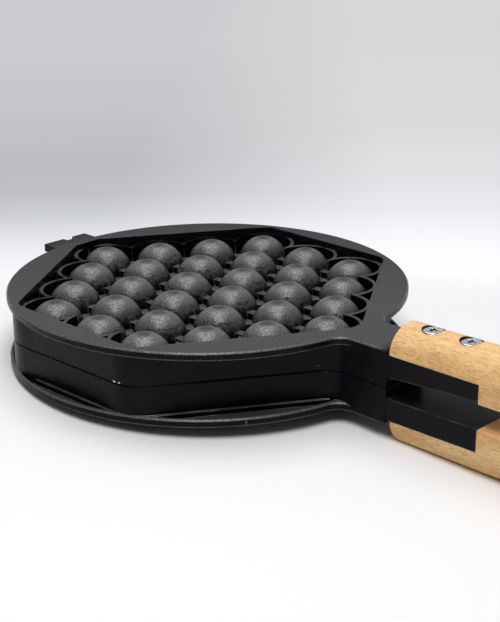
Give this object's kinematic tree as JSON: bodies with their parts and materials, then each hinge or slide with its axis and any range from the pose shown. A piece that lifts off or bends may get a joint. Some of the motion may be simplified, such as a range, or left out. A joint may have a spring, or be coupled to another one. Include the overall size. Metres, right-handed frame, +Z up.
{
  "type": "egg waffle pan",
  "caption": "Hinged stovetop pan of two round cast halves with rows of ball cups, folding open about a pin, each half with a half round wooden grip screwed to its tang",
  "frame": {"origin": "centre of the round rim, on the outer face of the lower half, on which the closed pan is set down", "axes": "+X along the grips, away from the hinge; +Z up, from the lower half to the upper one; +Y to the left of someone who looks from the hinge along the grips"},
  "size_m": [0.3904, 0.2, 0.0596],
  "materials": {
    "casting": "cast, dark non-stick coating, satin, fine speckle",
    "beech": "oiled beech",
    "screw": "bright plated",
    "washer": "bright plated",
    "pin": "drawn steel"
  },
  "bodies": {
    "lower_half": {"lower_plate": "casting", "lower_grip": "beech", "lower_front_washer": "washer", "lower_front_screw": "screw", "lower_rear_washer": "washer", "lower_rear_screw": "screw", "hinge_pin": "pin"},
    "upper_half": {"upper_plate": "casting", "upper_grip": "beech", "upper_front_washer": "washer", "upper_front_screw": "screw", "upper_rear_washer": "washer", "upper_rear_screw": "screw"}
  },
  "joints": [
    {"name": "hinge", "type": "hinge", "parent": "lower_half", "child": "upper_half", "pos_m": [-0.109, 0, 0.018], "axis": [0, -1, 0], "range_deg": [0, 180]}
  ]
}
